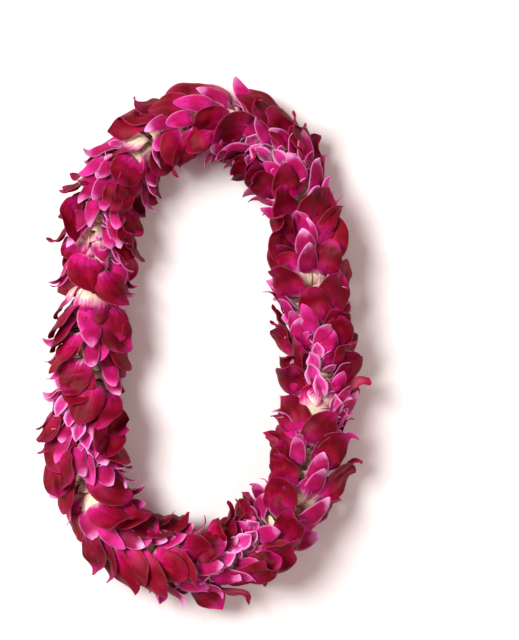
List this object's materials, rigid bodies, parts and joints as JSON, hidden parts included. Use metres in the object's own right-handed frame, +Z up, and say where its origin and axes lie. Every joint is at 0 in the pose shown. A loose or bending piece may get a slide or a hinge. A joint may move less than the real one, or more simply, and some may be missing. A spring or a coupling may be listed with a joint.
{
  "type": "fresh flower lei",
  "caption": "Flower garland to wear round the neck: orchid blossoms threaded close together, face to back, on a cotton string tied into a loop, lying flat.",
  "frame": {"origin": "on the table, under the middle of the lei's outline", "axes": "+Y along the lei's longest side, towards the string's knot; +Z up, away from the table; +X to the right, seen from above"},
  "size_m": [0.2638, 0.4394, 0.0672],
  "materials": {
    "petal": "satin",
    "cotton": "matte"
  },
  "bodies": {
    "root": {"blossom_pair_01": "petal", "blossom_pair_02": "petal", "blossom_pair_03": "petal", "blossom_pair_04": "petal", "blossom_pair_05": "petal", "blossom_pair_06": "petal", "blossom_pair_07": "petal", "blossom_pair_08": "petal", "blossom_pair_09": "petal", "blossom_pair_10": "petal", "blossom_pair_11": "petal", "blossom_pair_12": "petal", "blossom_pair_13": "petal", "blossom_pair_14": "petal", "blossom_pair_15": "petal", "blossom_pair_16": "petal", "blossom_pair_17": "petal", "blossom_pair_18": "petal", "blossom_pair_19": "petal", "blossom_pair_20": "petal", "blossom_pair_21": "petal", "blossom_pair_22": "petal", "blossom_pair_23": "petal", "blossom_pair_24": "petal", "blossom_pair_25": "petal", "blossom_pair_26": "petal", "blossom_pair_27": "petal", "blossom_pair_28": "petal", "blossom_pair_29": "petal", "blossom_pair_30": "petal", "blossom_pair_31": "petal", "blossom_pair_32": "petal", "blossom_pair_33": "petal", "blossom_pair_34": "petal", "blossom_pair_35": "petal", "blossom_pair_36": "petal", "blossom_pair_37": "petal", "blossom_pair_38": "petal", "blossom_pair_39": "petal", "blossom_pair_40": "petal", "blossom_pair_41": "petal", "blossom_pair_42": "petal", "blossom_pair_43": "petal", "blossom_pair_44": "petal", "blossom_pair_45": "petal", "string": "cotton"}
  },
  "joints": []
}
